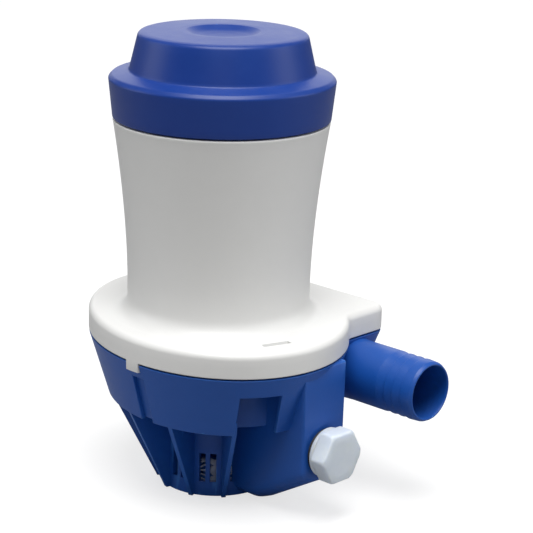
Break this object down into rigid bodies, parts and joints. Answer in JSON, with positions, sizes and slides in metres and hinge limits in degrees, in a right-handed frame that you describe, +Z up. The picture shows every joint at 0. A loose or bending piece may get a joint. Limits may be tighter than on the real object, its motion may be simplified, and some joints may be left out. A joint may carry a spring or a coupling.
{
  "type": "bilge pump",
  "caption": "Submersible centrifugal bilge pump: finned strainer base with side hose tail and plugged second inlet, oval-flanged motor housing, domed cap.",
  "frame": {"origin": "on the pump's vertical axis, in the plane of the feet", "axes": "+Z up along the motor shaft; +X the way the discharge points; +Y the side the discharge is offset to"},
  "size_m": [0.1644, 0.1256, 0.2153],
  "materials": {
    "base_blue": "deep blue moulded polypropylene, fine satin grain",
    "cap_blue": "royal blue moulded plastic, matte",
    "housing_white": "warm white moulded plastic, satin",
    "plug_clear": "milky translucent nylon",
    "rubber_black": "black nitrile rubber",
    "plastic_black": "black glass-filled nylon",
    "steel_zinc": "zinc-plated pressed steel",
    "steel_bright": "stainless steel, turned",
    "bronze": "sintered bronze",
    "ferrite": "dark grey ferrite",
    "lamination": "stacked electrical steel",
    "copper_wire": "enamelled copper wire",
    "copper_bar": "worn copper",
    "carbon": "carbon brush",
    "brass_strip": "folded brass strip",
    "spring_steel": "spring wire",
    "impeller_grey": "dark grey acetal",
    "lead_red": "PVC insulation",
    "splice_blue": "nylon crimp sleeve",
    "capacitor_coat": "dipped ceramic coating"
  },
  "bodies": {
    "base": {"pump_base": "base_blue", "strainer_plate": "base_blue"},
    "gasket": {"plug_gasket": "rubber_black"},
    "plug": {"hex_plug": "plug_clear"},
    "housing": {"motor_housing": "housing_white", "chamber_cover": "plastic_black", "base_o_ring": "rubber_black", "top_cap": "cap_blue", "cap_o_ring": "rubber_black", "motor_can": "steel_zinc", "field_magnets": "ferrite", "end_bell": "plastic_black", "lower_bearing": "bronze", "upper_bearing": "bronze", "shaft_seal": "rubber_black", "cover_screws": "steel_bright", "end_bell_screws": "steel_zinc", "suppression_capacitor": "capacitor_coat", "brush_guides": "brass_strip", "brush_spring_front": "spring_steel", "brush_spring_rear": "spring_steel", "motor_leads": "lead_red", "lead_splices": "splice_blue", "cable_gland": "plastic_black", "gland_sleeve": "rubber_black", "gland_nut": "plastic_black"},
    "rotor": {"motor_shaft": "steel_bright", "armature_core": "lamination", "armature_windings": "copper_wire", "commutator": "copper_bar", "water_slinger": "rubber_black", "impeller": "impeller_grey", "impeller_pin": "steel_bright", "shaft_clip": "spring_steel"},
    "front_brush": {"brush_front": "carbon"},
    "rear_brush": {"brush_rear": "carbon"}
  },
  "joints": [
    {"name": "housing_lift", "type": "slide", "parent": "base", "child": "housing", "axis": [0, 0, 1], "range_m": [0, 0.09]},
    {"name": "rotor_spin", "type": "hinge", "parent": "housing", "child": "rotor", "pos_m": [0, 0, 0.1], "axis": [0, 0, 1], "continuous": true},
    {"name": "plug_travel", "type": "slide", "parent": "base", "child": "gasket", "axis": [1, 0, 0], "range_m": [0, 0.0081]},
    {"name": "plug_turn", "type": "hinge", "parent": "gasket", "child": "plug", "pos_m": [0.0666, 0.0024, 0.0313], "axis": [1, 0, 0], "range_deg": [0, 1440]},
    {"name": "front_brush_slide", "type": "slide", "parent": "housing", "child": "front_brush", "axis": [1, 0, 0], "range_m": [0, 0.002], "stiffness_N_per_m": 60, "springref_m": -0.004, "deforming": ["brush_spring_front"]},
    {"name": "rear_brush_slide", "type": "slide", "parent": "housing", "child": "rear_brush", "axis": [-1, 0, 0], "range_m": [0, 0.002], "stiffness_N_per_m": 60, "springref_m": -0.004, "deforming": ["brush_spring_rear"]}
  ],
  "couplings": [
    {"joint": "plug_travel", "follows": "plug_turn", "m_per_rad": 0.00031831}
  ]
}
